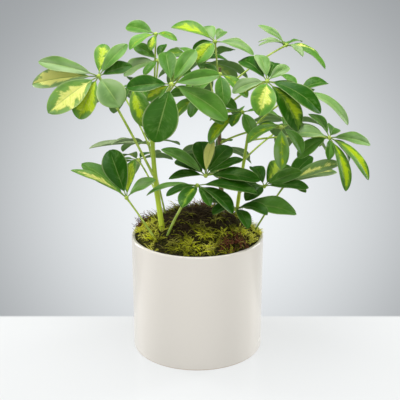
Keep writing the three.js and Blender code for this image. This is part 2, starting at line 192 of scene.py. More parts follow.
FRONDS = {
    "frond_left_crown": plan(
        ("stem_left", 0.5), (-102, -35, 320), 55, -95, 4, 12, 35,
        ("G", 26, 38), ("e", 51, 47, 0.38), ("Y", 86, 44), ("j", 164, 68, 0.27), ("W", 178, 79, 0.32),
        ("V", 220, 66, 0.48), ("Z", 242, 50, 0.64), ("x", 304, 43, 0.78), petiole=1.6,
    ),
    "frond_top_left": plan(
        ("stem_left", 0.9), (-42, 2, 331), 42, -105, 2, 22, 45,
        ("G", 78, 28), ("g", 140, 36), ("x", 188, 44, 0.56), ("g", 236, 26), ("G", 326, 44), ("q", 4, 30),
    ),
    "frond_front_crown": plan(
        ("stem_left", 0.78), (-26, -60, 316), 52, -88, 8, 10, 32,
        ("G", 254, 62, 0.66), ("D", 186, 46, 0.52), ("g", 332, 68, 0.42), ("g", 10, 50, 0.36),
        ("G", 98, 50), ("g", 58, 46), ("R", 212, 30),
    ),
    "frond_top_centre": plan(
        ("stem_centre", 0.93), (19, 0, 351), 28, -75, 0, 16, 50,
        ("G", 192, 26), ("l", 155, 54, 0.52), ("e", 108, 44), ("e", 66, 28), ("x", 6, 46, 0.52),
        ("e", 336, 46), ("R", 238, 36, 0.6),
    ),
    "frond_top_right": plan(
        ("stem_centre", 0.86), (101, 60, 340), 12, -60, 8, 20, 60,
        ("j", 132, 48, None, 25, 38), ("x", 170, 34), ("s", 85, 34), ("x", 200, 36), ("P", 4, 44),
        ("j", 298, 36), ("g", 326, 56), ("g", 45, 30), broad=0.3,
    ),
    "frond_front_right": plan(
        ("stem_centre", 0.76), (71, -55, 318), 40, -80, 8, 15, 55,
        ("D", 120, 52, 0.42, 40), ("e", 98, 44), ("D", 72, 42, 0.38), ("e", 44, 34), ("x", 188, 39),
        ("C", 258, 46, 0.66), ("B", 309, 62, 0.48), ("D", 328, 66, 0.42, 64), ("D", 356, 46, 0.36),
    ),
    "frond_right_crown": plan(
        ("stem_right", 0.85), (143, -15, 250), 32, -60, 6, 12, 50,
        ("g", 66, 46), ("e", 4, 50), ("G", 346, 42, 0.36, 72), ("l", 318, 66, 0.3, 62), ("g", 270, 28),
        ("x", 184, 46, 0.6), ("g", 206, 44, 0.4, 84), ("g", 112, 46), ("l", 297, 64, 0.3, 66),
    ),
    "frond_right_hanging": plan(
        ("stem_centre", 0.6), (89, -30, 265), 15, -90, 8, 5, 75,
        ("k", 268, 50, 0.38), ("k", 197, 42), ("g", 320, 38), ("y", 150, 42), ("g", 95, 44),
        ("g", 50, 42),
    ),
    "frond_middle": plan(
        ("stem_right", 0.96), (49, -5, 276), 15, -110, 4, 10, 60,
        ("Z", 209, 52), ("y", 244, 30), ("g", 288, 36), ("y", 188, 38), ("g", 100, 42), ("g", 350, 40),
    ),
    "frond_low_centre": plan(
        ("stem_centre", 0.42), (9, -32, 212), 20, -95, 6, 25, 40,
        ("D", 128, 52, 0.56), ("D", 95, 50, 0.56), ("T", 76, 44, 0.26, None, 58), ("G", 56, 52, 0.52),
        ("D", 352, 60), ("s", 152, 58), ("D", 174, 42, 0.5), ("G", 22, 46),
    ),
    "frond_low_front": plan(
        (-47, -32), (0, -45, 205), 15, -80, 22, 10, 45,
        ("s", 172, 60, 0.3, None, 14), ("D", 352, 66), ("D", 328, 50), ("o", 250, 46), ("G", 300, 30),
        ("D", 215, 40, 0.36), petiole=1.7,
    ),
    "frond_low_left": plan(
        (-24, -42), (-77, -32, 187), 14, -150, 4, 42, 28,
        ("P", 170, 68, 0.24, None, 64), ("g", 150, 64, 0.4), ("D", 106, 62, 0.48, None, 62),
        ("Z", 68, 46, 0.38), ("e", 14, 38, 0.6),
    ),
    "frond_inner_left": plan(
        (-27, 8), (-56, 28, 233), 8, 150, 6, 20, 45,
        ("w", 180, 68, 0.4, 8), ("w", 212, 48), ("g", 140, 46), ("G", 80, 50), ("g", 35, 44),
        ("x", 250, 30),
    ),
    "frond_low_right": plan(
        (48, -6), (101, 18, 188), 20, -80, 8, 34, 30,
        ("c", 20, 66), ("v", 355, 68), ("G", 52, 54), ("g", 112, 40, None, None, 0), ("G", 310, 32),
    ),
    "frond_inner_right": plan(
        ("stem_right", 0.45), (74, -12, 194), 26, -80, 6, 22, 40,
        ("B", 58, 56, 0.58), ("G", 350, 50), ("D", 104, 44), ("g", 20, 46), ("D", 170, 52),
        ("G", 235, 42),
    ),
    "frond_lowest_right": plan(
        ("stem_centre", 0.28), (42, -32, 174), 12, -70, 6, 38, 68,
        ("g", 352, 68, 0.6, 52), ("G", 322, 44), ("G", 155, 40), ("D", 225, 40), ("G", 290, 38),
    ),
    "frond_upper_right": plan(
        ("stem_right", 0.93), (111, 10, 295), 20, -60, 8, 15, 50,
        ("G", 24, 38, 0.66, 62, 56), ("e", 325, 70, 0.34, 68), ("g", 60, 44), ("g", 120, 40),
        ("G", 200, 34),
    ),
    "frond_upper_centre": plan(
        ("stem_left", 0.84), (-2, 18, 330), 14, 0, 6, 15, 45,
        ("g", 168, 44), ("g", 125, 42), ("q", 80, 44), ("G", 32, 46, 0.5), ("g", 290, 26, 0.54),
    ),
    "frond_inner_top": plan(
        ("stem_centre", 0.8), (24, -22, 320), 24, -90, 4, 15, 50,
        ("q", 322, 40), ("G", 140, 28), ("y", 190, 42), ("g", 230, 42), ("g", 276, 42),
    ),
    "frond_behind_left": plan(
        ("stem_left", 0.7), (-70, -8, 306), 20, -120, 4, 5, 80,
        ("L", 285, 52), ("G", 238, 24), ("g", 150, 44), ("G", 90, 46), ("g", 335, 36),
    ),
    "frond_back_left": plan(
        ("stem_left", 0.62), (-88, 66, 285), 35, 115, 6, 12, 48,
        ("g", 200, 56), ("Y", 155, 62), ("g", 110, 46, None, 16), ("y", 65, 60), ("G", 20, 50),
        ("g", 240, 34), ("Y", 330, 34),
    ),
    "frond_back_top": plan(
        ("stem_centre", 0.72), (8, 78, 318), 38, 92, 8, 12, 48,
        ("g", 180, 58), ("y", 135, 64), ("G", 95, 70), ("Y", 50, 62), ("g", 5, 56), ("g", 320, 46),
        ("G", 225, 46), ("y", 270, 38),
    ),
    "frond_back_right": plan(
        ("stem_right", 0.7), (112, 84, 245), 32, 50, 6, 12, 50,
        ("Y", 0, 58), ("g", 45, 66), ("G", 90, 62), ("y", 135, 56), ("g", 180, 52), ("G", 315, 50),
        ("g", 260, 42),
    ),
    "frond_back_low_left": plan(
        ("stem_left", 0.38), (-72, 80, 200), 25, 120, 6, 18, 45,
        ("G", 195, 56), ("g", 150, 62), ("Y", 105, 60), ("D", 60, 54), ("G", 15, 44), ("y", 250, 38),
    ),
    "frond_back_low": plan(
        ("stem_centre", 0.36), (20, 88, 210), 30, 88, 8, 15, 45,
        ("D", 175, 50), ("G", 130, 60), ("y", 85, 66), ("G", 40, 60), ("g", 355, 50), ("D", 300, 40),
        ("Y", 230, 42),
    ),
    "frond_top_tip": plan(
        ("stem_left", 0.95), (-45, 18, 357), 30, -110, 0, 22, 50,
        ("g", 152, 38, 0.62, 30, 32), ("k", 222, 38), ("Z", 256, 24), ("k", 322, 32, 0.32, 60),
    ),
    "frond_inner_front": plan(
        ("stem_centre", 0.68), (6, -16, 296), 30, -110, 4, 15, 45,
        ("G", 340, 40), ("g", 165, 40), ("q", 205, 42), ("G", 250, 38), ("y", 298, 44),
    ),
}

# The leaflets' looks: the splash of yellow, its side of the midrib, how creamy it is, and how dark the
# green is; below 0 it turns to a pale grey green, a painted sheen
LOOKS = {
    "g": (0.03, 0.0, 0.2, 0.42),
    "s": (0.0, 0.0, 0.2, 0.22),
    "e": (0.0, 0.0, 0.2, -0.25),
    "q": (0.10, 0.2, 0.2, 0.3),
    "x": (0.0, 0.0, 0.2, -0.5),
    "G": (0.0, 0.0, 0.0, 0.7),
    "D": (0.0, 0.0, 0.0, 1.0),
    "j": (0.0, 0.0, 0.2, -0.4),
    "w": (0.0, 0.0, 0.2, -1.0),
    "W": (0.85, -0.6, 1.0, -0.45),
    "V": (0.85, 0.1, 0.6, -0.4),
    "T": (2.2, 0.0, 0.85, 0.3),
    "o": (0.12, 0.2, -0.6, 0.85),
    "y": (0.30, 0.1, 0.1, 0.4),
    "Y": (0.50, 0.0, 0.3, 0.35),
    "Z": (0.78, 0.1, 0.15, 0.25),
    "P": (0.75, 0.0, 0.75, 0.2),
    "c": (0.50, 0.3, 0.9, -0.45),
    "v": (0.30, 0.3, 0.9, -0.6),
    "C": (0.60, 0.25, 0.55, 0.35),
    "B": (0.30, 0.45, 0.2, 1.0),
    "l": (0.65, 0.2, -0.6, 0.45),
    "k": (0.22, 0.3, -0.3, -0.05),
    "L": (0.50, -0.7, 0.1, 0.4),
    "R": (0.55, -0.6, 0.35, 0.35),
}


# Shader maths


def method(operation, reflected=False):
    """A method of Wire that adds a Math node, with the wire last where it's reflected"""

    def run(self, *others):
        values = (*others, self) if reflected else (self, *others)
        return self.graph.maths(operation, *values)

    return run


class Wire:
    """A number in a material. Python arithmetic on it adds the Math nodes."""

    __add__ = __radd__ = method("ADD")
    __sub__ = method("SUBTRACT")
    __rsub__ = method("SUBTRACT", reflected=True)
    __mul__ = __rmul__ = method("MULTIPLY")
    __truediv__ = method("DIVIDE")
    __rtruediv__ = method("DIVIDE", reflected=True)
    __pow__ = method("POWER")
    __abs__ = method("ABSOLUTE")
    fraction = method("FRACT")

    def __init__(self, graph, socket):
        self.graph = graph
        self.socket = socket

    def __neg__(self):
        return self * -1.0

    def rise(self, low, high):
        """0 below low, 1 above high and smooth between them. low may be the higher one."""
        ranged = {"interpolation_type": "SMOOTHSTEP"}
        values = {"Value": self, "From Min": low, "From Max": high}
        return self.graph.wire("MapRange", ranged, values)


class Graph:
    """A material's nodes."""

    def __init__(self, name):
        self.material = bpy.data.materials.new(name)
        self.material.use_nodes = True
        self.tree = self.material.node_tree
        self.tree.nodes.clear()

    def node(self, kind, settings=None, values=None):
        made = self.tree.nodes.new("ShaderNode" + kind)
        for key, value in (settings or {}).items():
            setattr(made, key, value)
        for key, value in (values or {}).items():
            socket = self.socket(made.inputs, key)
            if isinstance(value, (Wire, bpy.types.NodeSocket)):
                self.tree.links.new(getattr(value, "socket", value), socket)
            else:
                socket.default_value = value
        return made

    def socket(self, sockets, key):
        """A socket by its place, its identifier or its name"""
        named = {socket.identifier: socket for socket in sockets}
        return named[key] if key in named else sockets[key]

    def wire(self, kind, settings=None, values=None):
        return Wire(self, self.node(kind, settings, values).outputs[0])

    def maths(self, operation, *values):
        return self.wire("Math", {"operation": operation}, dict(enumerate(values)))

    def noise(self, scale, detail=2.0, roughness=0.5, place=None):
        """Noise over the piece, or over a place of its own"""
        values = {"Vector": place or self.place(), "Scale": scale, "Detail": detail}
        return self.wire("TexNoise", values=values | {"Roughness": roughness})

    def vector(self, x, y, z):
        return self.wire("CombineXYZ", values={"X": x, "Y": y, "Z": z})

    def split(self, vector):
        parts = self.node("SeparateXYZ", values={"Vector": vector})
        return [Wire(self, parts.outputs[axis]) for axis in "XYZ"]

    def attribute(self, name):
        return self.split(self.node("Attribute", {"attribute_name": name}).outputs["Vector"])

    def place(self):
        return self.node("TexCoord").outputs["Object"]

    def mix(self, share, first, second):
        values = {"Factor_Float": share, "A_Color": first, "B_Color": second}
        mixed = self.node("Mix", {"data_type": "RGBA"}, values)
        return self.socket(mixed.outputs, "Result_Color")

    def bump(self, height, distance, strength=1.0):
        values = {"Height": height, "Distance": distance, "Strength": strength}
        return self.node("Bump", values=values).outputs["Normal"]

    def principled(self, tone, roughness, normal=None, **values):
        named = {key.replace("_", " "): value for key, value in values.items()}
        named |= {"Base Color": tone, "Roughness": roughness}
        if normal is not None:
            named["Normal"] = normal
        return self.node("BsdfPrincipled", values=named).outputs["BSDF"]

    def finish(self, shader):
        self.node("OutputMaterial", values={"Surface": shader})
        return self.material

    def surface(self, *values, **settings):
        return self.finish(self.principled(*values, **settings))


# Sizes and colours that a user may change


def colour(name, description, value):
    return bpy.props.FloatVectorProperty(
        name=name, description=description, subtype="COLOR", size=4, min=0, max=1,
        default=(*value, 1.0),
    )


def length(name, description, value):
    return bpy.props.FloatProperty(
        name=name, description=description, subtype="DISTANCE", unit="LENGTH",
        precision=4, min=0, default=value,
    )


def number(name, description, value):
    return bpy.props.FloatProperty(name=name, description=description, min=0, default=value)


def count(name, description, value):
    return bpy.props.IntProperty(name=name, description=description, min=0, default=value)


def tilt(name, description, degrees):
    return bpy.props.FloatProperty(
        name=name, description=description, subtype="ANGLE", default=math.radians(degrees)
    )


class PotSettings(bpy.types.PropertyGroup):
    radius: length("Radius", "Outer radius of the pot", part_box("pot")[1].x)
    height: length("Height", "Height of the pot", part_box("pot")[1].z)
    wall: length("Wall", "Thickness of the wall", 4 * MM)
    floor: length("Floor", "Thickness of the floor", 6 * MM)
    rounding: length("Rounding", "Radius of the rounded lip and foot", 1.4 * MM)
    glaze: colour("Glaze", "Colour of the glaze", (0.805, 0.757, 0.685))
    clay: colour("Clay", "Colour of the bare clay under the foot", (0.55, 0.42, 0.30))


class MossSettings(bpy.types.PropertyGroup):
    feathers: count("Feathers", "Number of feathery moss strands", 1700)
    fibres: count("Fibres", "Number of peat fibres", 1200)
    curls: count("Curls", "Number of dry curls", 300)
    olive: colour("Olive", "Most of the moss", (0.21, 0.22, 0.010))
    lime: colour("Lime", "Fresh moss", (0.92, 0.96, 0.03))
    dry: colour("Dry", "Red-brown, dried moss", (0.16, 0.028, 0.016))
    peat: colour("Peat", "Dark, damp peat", (0.022, 0.013, 0.007))


class StemSettings(bpy.types.PropertyGroup):
    green: colour("Green", "Skin of a young stem", (0.36, 0.50, 0.05))
    pale: colour("Pale", "Lighter skin at the foot of a young stem", (0.64, 0.78, 0.05))
    woody: colour("Woody", "Bark of an older stem", (0.15, 0.105, 0.045))


class FoliageSettings(bpy.types.PropertyGroup):
    thickness: length("Thickness", "Thickness of a leaflet", 0.55 * MM)
    deep: colour("Deep", "Green of the older leaflets", (0.016, 0.092, 0.001))
    fresh: colour("Fresh", "Green of the younger leaflets", (0.14, 0.345, 0.045))
    # Painted sheen: a darkness below 0 mixes in this pale grey green in place of the soft light's
    # reflection
    pale: colour("Pale", "Grey green of the sheen_lit leaflets", (0.24, 0.30, 0.16))
    halo: colour("Halo", "Green between the two colours of a leaflet", (0.19, 0.35, 0.03))
    lime: colour("Lime", "Lime of the variegated leaflets", (0.42, 0.58, 0.012))
    cream: colour("Cream", "Yellow cream of the palest leaflets", (0.76, 0.76, 0.22))
    under: colour("Underside", "Grey green of the undersides", (0.19, 0.27, 0.12))
    # Painted sheen: the pale grey green that the leaf material lays over parts of the leaflets in place
    # of the light's reflection
    painted_sheen: colour("Painted sheen", "Pale veil over parts of the leaflets", (0.42, 0.53, 0.29))


class StageSettings(bpy.types.PropertyGroup):
    camera_distance: length("Distance", "Camera in front of the pot's axis", 0.895)
    camera_height: length("Height", "Camera above the floor", 0.459)
    camera_side: length("Side", "Camera to the right of the pot's axis", 0.0029)
    pitch: tilt("Pitch", "How far the camera looks down", 17.64)
    lens: number("Lens", "Focal length in millimetres", 74.88)
    floor: colour("Floor", "Colour of the floor", (0.70, 0.71, 0.71))
    glow: colour("Floor glow", "Light that fills the shadows on the floor", (0.86, 0.875, 0.875))
    # The two ends of the painted pool of light on the backdrop
    bright: colour("Backdrop", "Colour of the backdrop behind the pot", (0.90, 0.93, 0.95))
    dark: colour("Backdrop edge", "Colour of the backdrop further out", (0.345, 0.363, 0.376))


# Making and finishing pieces


def deselect():
    bpy.ops.object.select_all(action="DESELECT")


def choose(piece):
    deselect()
    piece.select_set(True)
    bpy.context.view_layer.objects.active = piece


def add(operator, **settings):
    """Adds a primitive where the settings say, with its place in its mesh."""
    deselect()
    operator(**settings)
    bpy.ops.object.transform_apply(location=True, rotation=True, scale=True)
    return bpy.context.object


def everything(face):
    return True


def outwards():
    """Turns all faces outwards."""
    bpy.ops.mesh.select_all(action="SELECT")
    bpy.ops.mesh.normals_make_consistent(inside=False)


def edit(piece, wanted, *steps):
    """Selects the faces that wanted accepts and runs the steps on them in edit mode."""
    choose(piece)
    bpy.ops.object.mode_set(mode="EDIT")
    bpy.ops.mesh.select_mode(type="FACE")
    bpy.ops.mesh.select_all(action="DESELECT")
    bpy.ops.object.mode_set(mode="OBJECT")
    for face in piece.data.polygons:
        face.select = wanted(face)
    bpy.ops.object.mode_set(mode="EDIT")
    for step in steps:
        step()
    bpy.ops.object.mode_set(mode="OBJECT")


def modify(piece, kind, **settings):
    choose(piece)
    made = piece.modifiers.new(kind.title(), kind)
    for key, value in settings.items():
        setattr(made, key, value)
    bpy.ops.object.modifier_apply(modifier=made.name)


def smooth(piece, degrees):
    choose(piece)
    bpy.ops.object.shade_smooth_by_angle(angle=math.radians(degrees))


def paint(piece, material):
    piece.data.materials.clear()
    piece.data.materials.append(material)


def complete(piece, name, node=None):
    """Names a piece and puts it on the body, in place of a node if it has one."""
    piece.name = name
    piece.data.name = name
    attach(piece, "root")
    if node:
        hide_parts(node)


def points_of(mesh):
    flat = np.empty(len(mesh.vertices) * 3)
    mesh.vertices.foreach_get("co", flat)
    return flat.reshape(-1, 3)


def set_points(mesh, points):
    mesh.vertices.foreach_set("co", np.ascontiguousarray(points, dtype=np.float32).ravel())
    mesh.update()


def set_attribute(mesh, name, rows):
    """One row of three numbers for each vertex"""
    made = mesh.attributes.new(name, "FLOAT_VECTOR", "POINT")
    made.data.foreach_set("vector", np.ascontiguousarray(rows, dtype=np.float32).ravel())


def mesh_piece(points, faces):
    """A new piece from arrays, for what is repeated many times"""
    mesh = bpy.data.meshes.new("strands")
    mesh.from_pydata(points.tolist(), [], faces.tolist())
    piece = bpy.data.objects.new("strands", mesh)
    bpy.context.scene.collection.objects.link(piece)
    return piece


# Shapes that the solids share


def draws(seed):
    """A seeded sequence of draws between -1 and 1"""
    while True:
        seed = seed * DRAW_FACTOR % DRAW_MODULUS
        yield 2 * seed / DRAW_MODULUS - 1


def soil_height(x, y):
    share = np.hypot(x, y - MOUND_CENTRE_Y) / MOUND_RADIUS
    return SOIL_EDGE + SOIL_MOUND * np.maximum(0, 1 - share * share)


def moss_height(x, y):
    across, along = TUFTS["start"]
    tufts = np.sin(x / TUFTS["across"] + across) * np.sin(y / TUFTS["along"] + along)
    ripples = np.sin(x / RIPPLES["across"] + y / RIPPLES["along"])
    relief = TUFTS["share"] * tufts + RIPPLES["share"] * ripples
    return soil_height(x, y) + MOSS_DEPTH + MOSS_BUMP * relief


def bezier(points, share):
    """A point on a curve with any number of control points"""
    points = [np.array(point, float) for point in points]
    while len(points) > 1:
        points = [a + (b - a) * share for a, b in zip(points, points[1:])]
    return points[0]


def stem_radius(stem, share):
    return stem["foot"] + (stem["tip"] - stem["foot"]) * share


def unit(vector):
    return vector / np.linalg.norm(vector)


def petiole_path(frond):
    """The foot, the control point and the hub of a petiole"""
    hub = np.array(frond["hub"], float)
    if isinstance(frond["grows"][0], str):
        name, share = frond["grows"]
        stem = STEMS[name]
        foot = bezier(stem["path"], share)
        away = (hub - foot) * (1, 1, 0)
        foot = foot + unit(away) * stem_radius(stem, share) * SEAT_DEPTH
    else:
        foot = np.array((*frond["grows"], SOIL_EDGE - PETIOLE_DEPTH), float)
    control = (foot + hub) / 2 + (0, 0, frond["bow"])
    return foot, control, hub


def crown_axes(frond):
    """The crown's axis, and its right and ahead directions"""
    lean, bearing = math.radians(frond["lean"]), math.radians(frond["bearing"])
    level = np.array((math.cos(bearing), math.sin(bearing), 0))
    axis = level * math.sin(lean) + np.array((0, 0, math.cos(lean)))
    right = unit(np.array((1.0, 0, 0)) - axis * axis[0])
    return axis, right, np.cross(axis, right)


# Pot


def glaze_material(p):
    g = Graph("pot_glaze")
    z = g.split(g.place())[2]
    cloud = g.noise(18.0, 3.0)
    speck = g.noise(900.0, 1.0)
    foot = z.rise(1.6 * MM, 0.7 * MM)
    tone = g.mix((cloud - 0.5) * 0.25 + 0.1, p.glaze, (0.86, 0.81, 0.75, 1))
    tone = g.mix(speck.rise(0.66, 0.8) * 0.10, tone, (0.5, 0.42, 0.34, 1))
    tone = g.mix(foot, tone, p.clay)
    roughness = 0.2 + cloud * 0.1 + foot * 0.5
    waves = g.noise(40.0) * 0.8 + speck * 0.05
    bump = g.bump(waves, 0.25 * MM, 0.5)
    return g.surface(tone, roughness, bump, Coat_Weight=0.35, Coat_Roughness=0.08)


class PLANT_OT_pot(bpy.types.Operator):
    """Makes the straight ceramic pot"""

    bl_idname = "plant.pot"
    bl_label = "Pot"

    def execute(self, context):
        p = context.scene.umbrella_pot
        pot = add(
            bpy.ops.mesh.primitive_cylinder_add,
            vertices=144, radius=p.radius, depth=p.height, location=(0, 0, p.height / 2),
        )
        down = {"value": (0, 0, p.floor - p.height)}
        edit(
            pot,
            lambda face: face.normal.z > 0.9,
            lambda: bpy.ops.mesh.inset(thickness=p.wall),
            lambda: bpy.ops.mesh.extrude_region_move(TRANSFORM_OT_translate=down),
        )
        modify(
            pot, "BEVEL", width=p.rounding, segments=5, limit_method="ANGLE",
            angle_limit=math.radians(40),
        )
        smooth(pot, 40)
        paint(pot, glaze_material(p))
        complete(pot, "pot_shell", "pot")
        return {"FINISHED"}


# Soil and moss


def soil_material(p):
    g = Graph("potting_mix")
    crumbs = g.noise(220.0, 4.0, 0.7)
    tone = g.mix(crumbs.rise(0.4, 0.7), p.peat, (0.07, 0.045, 0.024, 1))
    return g.surface(tone, 0.95, g.bump(crumbs, 1.5 * MM))


class PLANT_OT_soil(bpy.types.Operator):
    """Gives the soil its crumbly finish"""

    bl_idname = "plant.soil"
    bl_label = "Soil"

    def execute(self, context):
        paint(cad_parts["soil"], soil_material(context.scene.umbrella_moss))
        return {"FINISHED"}


def strand_material(name, root, tone, other, tip):
    """Colours from the root to the tip, with painted light in them: roots darker, partly the strands' own
    dark base and partly painted shade among them, and a painted highlight that each strand's own
    brightness mixes in. shade is (along, own tone, own brightness).
    """
    g = Graph(name)
    along, own, light = g.attribute("shade")
    grain = g.noise(700.0)
    tone = g.mix(own, tone, other)
    # Painted highlight: each strand's own brightness mixes in the last colour, light on the moss and the
    # dry curls; on peat fibres it is their own paler colour
    tone = g.mix(light * 0.75, tone, tip)
    # Painted shade: darker towards the root, partly the strands' own dark base and partly shade down
    # among the strands
    tone = g.mix(along.rise(0.6, 0.0) * 0.85, tone, root)
    tone = g.mix(grain.rise(0.5, 0.75) * 0.3, tone, root)
    return g.surface(tone, 0.6, g.bump(grain, 0.2 * MM), Specular_IOR_Level=0.15)


def mat_material(p):
    g = Graph("moss_mat")
    x, y, _ = g.split(g.place())
    patches = g.noise(45.0, 3.0, 0.6)
    grain = g.noise(420.0, 4.0, 0.7)
    out = (x * x + y * y) ** 0.5 / (MOSS_RADIUS * MM)
    moss = (out + (patches - 0.5) * 1.1).rise(0.55, 0.8)
    tone = g.mix(grain.rise(0.35, 0.7), p.peat, (0.05, 0.033, 0.016, 1))
    green = g.mix(grain.rise(0.45, 0.75) * 0.6, (0.02, 0.018, 0.006, 1), p.olive)
    tone = g.mix(moss, tone, green)
    return g.surface(tone, 0.9, g.bump(grain, 2.0 * MM), Specular_IOR_Level=0.1)


def disc_grid(steps, radius):
    """Adds a grid whose rim is a circle."""
    grid = add(
        bpy.ops.mesh.primitive_grid_add, x_subdivisions=steps, y_subdivisions=steps, size=2
    )
    points = points_of(grid.data)
    reach = np.maximum(np.abs(points[:, 0]), np.abs(points[:, 1]))
    stretch = reach / np.maximum(np.hypot(points[:, 0], points[:, 1]), 1e-9)
    points[:, :2] *= stretch[:, None] * radius
    set_points(grid.data, points)
    return grid


def clumps(x, y):
    """Fine relief of the moss, between about -1 and 1"""
    return sum(size * np.sin(a * x + b * y + start) for a, b, start, size in CLUMP_WAVES)


class PLANT_OT_moss_mat(bpy.types.Operator):
    """Makes the mat of moss and peat over the soil"""

    bl_idname = "plant.moss_mat"
    bl_label = "Moss mat"

    def execute(self, context):
        mat = disc_grid(MAT_STEPS, MOSS_RADIUS)
        below = {"value": (0, 0, -1)}
        edit(
            mat,
            everything,
            lambda: bpy.ops.mesh.extrude_region_move(TRANSFORM_OT_translate=below),
            outwards,
        )
        points = points_of(mat.data)
        x, y, z = points.T
        top = moss_height(x, y) + CLUMP_HEIGHT * clumps(x, y)
        inwards = np.clip((MOSS_RADIUS - np.hypot(x, y)) / MAT_EDGE["width"], 0, 1)
        top -= MAT_EDGE["drop"] * (1 - inwards) ** 2
        points[:, 2] = np.where(z < -0.5, soil_height(x, y) + SEAT_GAP, top)
        set_points(mat.data, points * MM)
        smooth(mat, 60)
        paint(mat, mat_material(context.scene.umbrella_moss))
        complete(mat, "moss_mat", "moss")
        return {"FINISHED"}


def spots_share(x, y, spots):
    """What the spots of the moss add up to. Each fades to 0 at its reach."""
    total = 0
    for centre, reach, share in spots:
        away = np.hypot(x - centre[0], y - centre[1]) / reach
        total = total + share * np.clip(1 - away ** 2, 0, 1)
    return total


def feather_share(x, y):
    """How thickly the feathery moss grows: all round the peat, and less among the dry curls"""
    out = np.hypot(x - PEAT_CENTRE[0], y - PEAT_CENTRE[1]) / PEAT_REACH
    return np.clip((out - 0.75) * 2.2, 0.12, 1) * (1 - 0.8 * np.minimum(curl_share(x, y), 1))


def peat_share(x, y):
    return np.clip(1.05 - 0.8 * feather_share(x, y), 0, 1)


def curl_share(x, y):
    return spots_share(x, y, CURL_SPOTS)


def strew(rng, amount, share, tries):
    """Places on the moss, as likely as share says, from so many tries for each of the amount"""
    tries = amount * tries
    radius = (MOSS_RADIUS - STRAND_EDGE) * np.sqrt(rng.random(tries))
    angle = rng.random(tries) * 2 * np.pi
    x, y = radius * np.cos(angle), radius * np.sin(angle)
    kept = rng.random(tries) < share(x, y)
    return x[kept][:amount], y[kept][:amount]


def strand_lines(x, y, heading, lift, bend, turn, size, steps):
    """Middle lines of strands that rise at lift, bow down by bend and swing round by turn"""
    share = (np.arange(steps) + 0.5) / steps
    pitch = lift[:, None] - bend[:, None] * share
    course = heading[:, None] + turn[:, None] * share
    level = np.cos(pitch)
    step = np.stack((level * np.cos(course), level * np.sin(course), np.sin(pitch)), axis=2)
    step = step * (size / steps)[:, None, None]
    foot = np.stack((x, y, moss_height(x, y) - STRAND_ROOT), axis=1)
    path = np.concatenate((np.zeros_like(step[:, :1]), step.cumsum(axis=1)), axis=1)
    return foot[:, None] + path


def line_frames(lines):
    """The direction of each point on the lines, and its level and upper sides"""
    ahead = np.gradient(lines, axis=1)
    ahead /= np.linalg.norm(ahead, axis=2, keepdims=True)
    side = np.cross(ahead, (0, 0, 1.0))
    side /= np.maximum(np.linalg.norm(side, axis=2, keepdims=True), 1e-6)
    return ahead, side, np.cross(side, ahead)


def strand_tubes(lines, radii):
    """Three-sided tubes: points, faces and the share along of each point"""
    amount, stations = lines.shape[:2]
    _, side, over = line_frames(lines)
    corner = np.arange(3) * 2 * np.pi / 3
    ring = np.cos(corner)[:, None] * side[:, :, None] + np.sin(corner)[:, None] * over[:, :, None]
    points = lines[:, :, None] + ring * radii[:, :, None, None]
    last = 3 * stations - 3
    faces = [(0, 2, 1), (last, last + 1, last + 2)]
    for station in range(stations - 1):
        for k in range(3):
            a, b = station * 3 + k, station * 3 + (k + 1) % 3
            faces += [(a, b, b + 3), (a, b + 3, a + 3)]
    along = np.repeat(np.linspace(0, 1, stations), 3)
    return repeat_faces(points.reshape(amount, -1, 3), faces, along)


def strand_leaves(lines, size):
    """Small pointed leaves in pairs along both sides of the lines"""
    points, along = [], []
    stations = lines.shape[1]
    frames = line_frames(lines)
    for station in range(1, stations):
        foot = lines[:, station]
        ahead, side, over = [direction[:, station] for direction in frames]
        share = station / (stations - 1)
        reach = size[:, None] * (1.15 - 0.75 * share)
        base = MOSS_LEAF["base"] * reach * ahead
        keel = MOSS_LEAF["keel"] * reach * over
        along_and_up = MOSS_LEAF["ahead"] * ahead + MOSS_LEAF["up"] * over
        for hand in (-1, 1):
            tip = foot + reach * (MOSS_LEAF["out"] * hand * side + along_and_up)
            points += [foot - base, foot + base, foot + keel, tip]
            along += [share, share, share, 1.0]
    corners = np.array(((0, 1, 2), (0, 2, 3), (2, 1, 3), (1, 0, 3)))
    faces = np.concatenate([corners + first for first in range(0, len(points), 4)])
    return repeat_faces(np.stack(points, axis=1), faces, along)


def repeat_faces(points, faces, along):
    """The points of all strands in one list, with their faces and their shares along"""
    amount, each = points.shape[:2]
    starts = np.arange(amount)[:, None, None] * each
    every = (np.array(faces)[None] + starts).reshape(-1, 3)
    return points.reshape(-1, 3), every, np.tile(along, amount)


def inside_rim(points):
    """Keeps points below the lip clear of the pot's wall, and draws higher ones in over the lip."""
    radius = np.hypot(points[:, 0], points[:, 1])
    over = np.maximum(radius - (MOSS_RADIUS - WALL_GAP), 0)
    reach = np.where(points[:, 2] < OVER_LIP, 0, OVERHANG_KEPT) * over
    points[:, :2] *= ((radius - over + reach) / np.maximum(radius, 1e-9))[:, None]
    return points


def strand_piece(name, material, parts, own, light):
    """One piece of many strands. parts are (points, faces, along), own and light for each strand."""
    points = np.concatenate([part[0] for part in parts])
    starts = np.cumsum([0] + [len(part[0]) for part in parts[:-1]])
    faces = np.concatenate([part[1] + start for part, start in zip(parts, starts)])
    piece = mesh_piece(inside_rim(points) * MM, faces)
    shades = np.column_stack((own, light))
    rows = [np.repeat(shades, len(part[2]) // len(shades), axis=0) for part in parts]
    along = np.concatenate([part[2] for part in parts])
    set_attribute(piece.data, "shade", np.column_stack((along, np.concatenate(rows))))
    edit(piece, everything, outwards)
    smooth(piece, 50)
    paint(piece, material)
    complete(piece, name)


